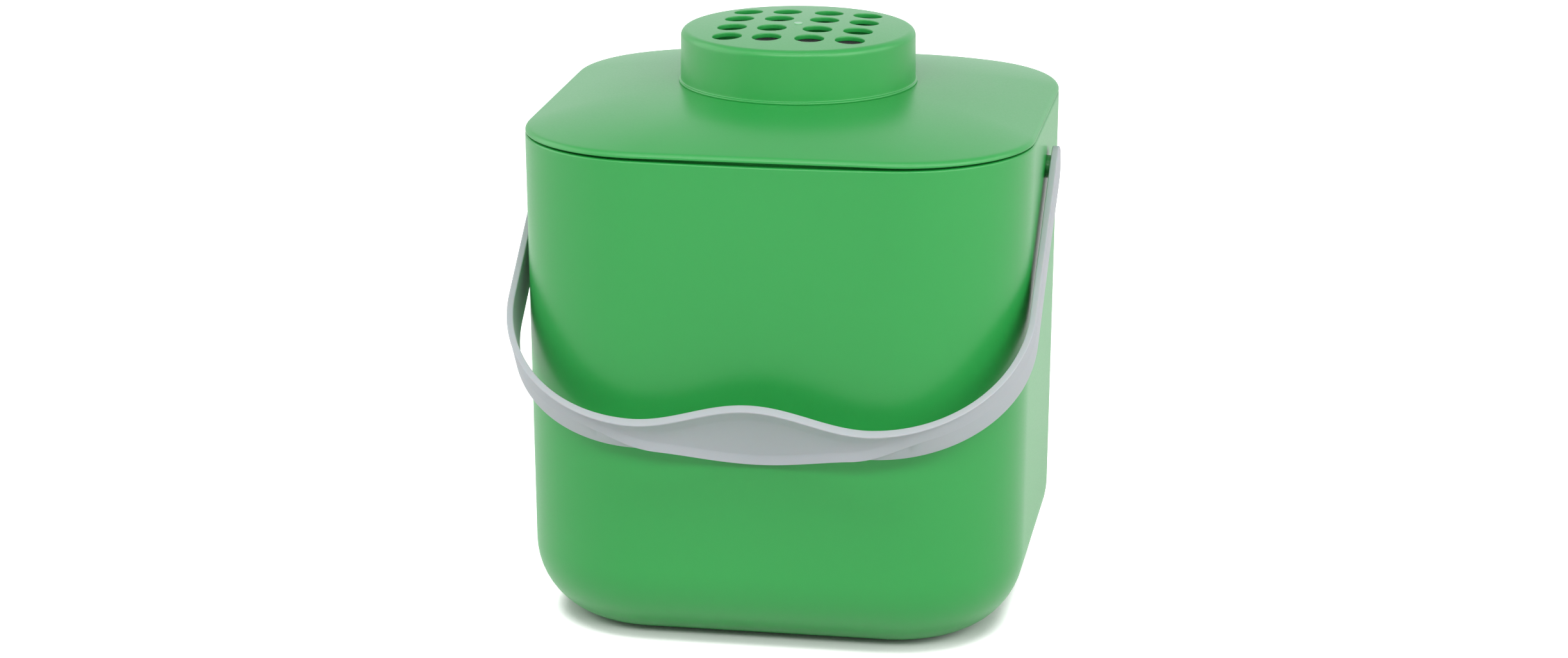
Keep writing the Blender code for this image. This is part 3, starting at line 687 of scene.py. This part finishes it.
def moulded_polypropylene(name, colour, deeper, roughness):
    """Satin polypropylene from a spark-eroded mould. The eye sees an even colour with the faintest
    cloudiness of flow, a broad soft sheen that turns to a milky reflection at grazing angles, and a
    fine matt grain. Real grain is about 0.1 mm, too fine for the picture, so it is drawn near 1 mm."""
    material, tree, out = new_material(name)
    place = add(tree, "ShaderNodeTexCoord").outputs["Object"]
    flow = add(tree, "ShaderNodeTexNoise", {
        "Vector": place, "Scale": 1000 / FLOW_MM, "Detail": 3.0, "Roughness": 0.45})
    grain = add(tree, "ShaderNodeTexNoise", {
        "Vector": place, "Scale": 1000 / GRAIN_MM, "Detail": 2.0, "Roughness": 0.6})
    tint = blend(tree, flow.outputs["Fac"], linear(colour), linear(deeper))
    sheen_change = add(tree, "ShaderNodeMapRange", {
        "Value": grain.outputs["Fac"], "From Min": 0.3, "From Max": 0.7,
        "To Min": roughness - GRAIN_ROUGHNESS, "To Max": roughness + GRAIN_ROUGHNESS})
    bump = add(tree, "ShaderNodeBump", {
        "Height": grain.outputs["Fac"], "Strength": 0.015, "Distance": 0.0002})
    shader = add(tree, "ShaderNodeBsdfPrincipled", {
        "Base Color": tint, "Roughness": sheen_change.outputs["Result"], "IOR": 1.55,
        "Subsurface Weight": 0.15, "Subsurface Scale": 0.0015, "Normal": bump.outputs["Normal"]})
    tree.links.new(shader.outputs["BSDF"], out.inputs["Surface"])
    return material


def charcoal_felt():
    """Needled felt loaded with charcoal: a dull black mat of fibres, greyer where the fibres stand.
    Real fibres are a few hundredths of a millimetre thick, too fine for the picture, so they are
    drawn as tufts near 1 mm."""
    material, tree, out = new_material("charcoal needled felt")
    place = add(tree, "ShaderNodeTexCoord").outputs["Object"]
    stretch = add(tree, "ShaderNodeMapping", {"Vector": place, "Scale": (1.0, 1.0, 0.35)})
    fibres = add(tree, "ShaderNodeTexNoise", {
        "Vector": stretch.outputs["Vector"], "Scale": FELT_FIBRES, "Detail": 5.0, "Roughness": 0.75,
        "Distortion": 2.5})
    clumps = add(tree, "ShaderNodeTexNoise", {"Vector": place, "Scale": FELT_CLUMPS, "Detail": 2.0})
    ramp = add(tree, "ShaderNodeValToRGB", {"Fac": fibres.outputs["Fac"]})
    ramp.color_ramp.elements[0].position = 0.35
    ramp.color_ramp.elements[0].color = linear("#161718")
    ramp.color_ramp.elements[1].position = 0.75
    ramp.color_ramp.elements[1].color = linear("#3A3C3D")
    height = add(tree, "ShaderNodeMath", {0: fibres.outputs["Fac"], 1: clumps.outputs["Fac"]},
                 operation="ADD")
    bump = add(tree, "ShaderNodeBump", {
        "Height": height.outputs["Value"], "Strength": 0.6, "Distance": 0.0006})
    shader = add(tree, "ShaderNodeBsdfPrincipled", {
        "Base Color": ramp.outputs["Color"], "Roughness": 0.95, "Sheen Weight": 0.25,
        "Sheen Roughness": 0.5, "Normal": bump.outputs["Normal"]})
    tree.links.new(shader.outputs["BSDF"], out.inputs["Surface"])
    return material


def seen_directly(tree):
    """1 for rays from the camera and for reflected and transmitted ones, 0 for diffuse light."""
    path = add(tree, "ShaderNodeLightPath")
    either = add(tree, "ShaderNodeMath", {
        0: path.outputs["Is Camera Ray"], 1: path.outputs["Is Glossy Ray"]}, operation="MAXIMUM")
    return add(tree, "ShaderNodeMath", {
        0: either.outputs["Value"], 1: path.outputs["Is Transmission Ray"]},
        operation="MAXIMUM").outputs["Value"]


def sweep_paper():
    """Matt white paper sweep. For the camera it gets light of its own, which fades out where ambient
    occlusion finds the pail close by, so that it reads as white; the tight soft shadow under the base
    is partly the lamps' shadow and partly this painted shade."""
    material, tree, out = new_material("white sweep paper")
    matt = add(tree, "ShaderNodeBsdfDiffuse", {"Color": linear("#E6E6E6"), "Roughness": 0.5})
    # Painted shade: the paper's own light is taken away where the pail is close, which deepens the
    # shadow under the base.
    open_air = add(tree, "ShaderNodeAmbientOcclusion", {"Distance": SHADE_REACH}, samples=8)
    steep = add(tree, "ShaderNodeMapRange", {
        "Value": open_air.outputs["AO"], "From Min": SHADE_STEP[0], "From Max": SHADE_STEP[1],
        "To Min": 0.0, "To Max": FLOOR_LIFT})
    lift = add(tree, "ShaderNodeEmission", {
        "Color": (*WHITE, 1.0), "Strength": steep.outputs["Result"]})
    path = add(tree, "ShaderNodeLightPath")
    reflected = add(tree, "ShaderNodeMath", {0: path.outputs["Is Glossy Ray"], 1: REFLECTED_LIFT},
                    operation="MULTIPLY")
    share = add(tree, "ShaderNodeMath", {
        0: path.outputs["Is Camera Ray"], 1: reflected.outputs["Value"]}, operation="MAXIMUM")
    own = add(tree, "ShaderNodeMixShader", {"Fac": share.outputs["Value"], 2: lift.outputs["Emission"]})
    both = add(tree, "ShaderNodeAddShader", {0: matt.outputs["BSDF"], 1: own.outputs["Shader"]})
    tree.links.new(both.outputs["Shader"], out.inputs["Surface"])
    return material


# Studio

def backdrop():
    """A level square floor."""
    mesh = bpy.data.meshes.new("sweep")
    far = HALF_FLOOR
    corners = [(-far, -far, 0), (far, -far, 0), (far, far, 0), (-far, far, 0)]
    mesh.from_pydata(corners, [], [(0, 1, 2, 3)])
    mesh.materials.append(sweep_paper())
    floor = bpy.data.objects.new("sweep", mesh)
    bpy.context.scene.collection.objects.link(floor)


def soft_box(name, place, size, power, colour):
    """An area light that faces LAMP_AIM."""
    light = bpy.data.lights.new(name, "AREA")
    light.color = colour
    light.shape = "RECTANGLE"
    light.size, light.size_y = size
    light.energy = power
    thing = bpy.data.objects.new(name, light)
    thing.location = place
    thing.rotation_euler = (Vector(LAMP_AIM) - Vector(place)).to_track_quat("-Z", "Y").to_euler()
    bpy.context.scene.collection.objects.link(thing)


def surroundings(strength):
    """A white room: the camera and glossy rays see it as white, and it lights the pail evenly, but
    only with the strength given."""
    world = bpy.data.worlds.new("white room")
    bpy.context.scene.world = world
    world.use_nodes = True
    tree = world.node_tree
    tree.nodes.clear()
    level = add(tree, "ShaderNodeMapRange", {
        "Value": seen_directly(tree), "To Min": strength, "To Max": 1.0})
    room = add(tree, "ShaderNodeBackground", {
        "Color": (*WHITE, 1.0), "Strength": level.outputs["Result"]})
    add(tree, "ShaderNodeOutputWorld", {"Surface": room.outputs["Background"]})


def camera():
    """The photograph's view: 9.5 degrees to the right, 16.1 above, from 1.6 m."""
    azimuth, elevation = math.radians(VIEW_AZIMUTH), math.radians(VIEW_ELEVATION)
    way = Vector((math.sin(azimuth) * math.cos(elevation), -math.cos(azimuth) * math.cos(elevation),
                  math.sin(elevation)))
    data = bpy.data.cameras.new("camera")
    data.sensor_width = SENSOR_MM
    data.lens = SENSOR_MM * FOCAL_PIXELS / PICTURE_PIXELS
    data.clip_end = 50.0
    thing = bpy.data.objects.new("camera", data)
    thing.location = Vector(VIEW_TARGET) + way * VIEW_DISTANCE
    thing.rotation_euler = (-way).to_track_quat("-Z", "Y").to_euler()
    bpy.context.scene.collection.objects.link(thing)
    bpy.context.scene.camera = thing


def main():
    green = moulded_polypropylene("satin moulded polypropylene, green", "#2CA44A", "#29A047", 0.33)
    grey = moulded_polypropylene("satin moulded polypropylene, grey", "#B9BEC2", "#B5BABF", 0.5)
    scar = moulded_polypropylene("torn polypropylene of the gate, whitened", "#B4DCBF", "#A8D4B4", 0.55)
    felt = charcoal_felt()

    pail = piece("pail_tub", [pail_rings()], "pail", "pail_body", green,
                 closed_ends=True)
    pierce(pail, SOCKET_RADIUS, (HINGE_Y, HINGE_Z), WIDTH)
    for side, word in ((1, "right"), (-1, "left")):
        piece(f"socket_boss_{word}", [boss_rings(side)], "pail", None, green)
    piece("lid_dome", [lid_rings()] + vent_floor(), "lid", "lid", green)
    piece("felt_filter", [filter_rings()], "lid", "charcoal_filter", felt)
    piece("filter_cap", cap_sheets(), "cap", "vent_cap", green)
    piece("cap_gate_mark", [gate_rings()], "cap", None, scar)
    piece("bail_handle", [handle_sheet()], "handle", "handle", grey)
    for side, word in ((1, "right"), (-1, "left")):
        piece(f"snap_stud_{word}", [stud_rings(side)], "handle", None, grey)

    backdrop()
    surroundings(ROOM_LIGHT)
    for lamp in LAMPS:
        soft_box(*lamp)
    camera()
    bpy.context.scene.view_settings.view_transform = "Standard"


main()
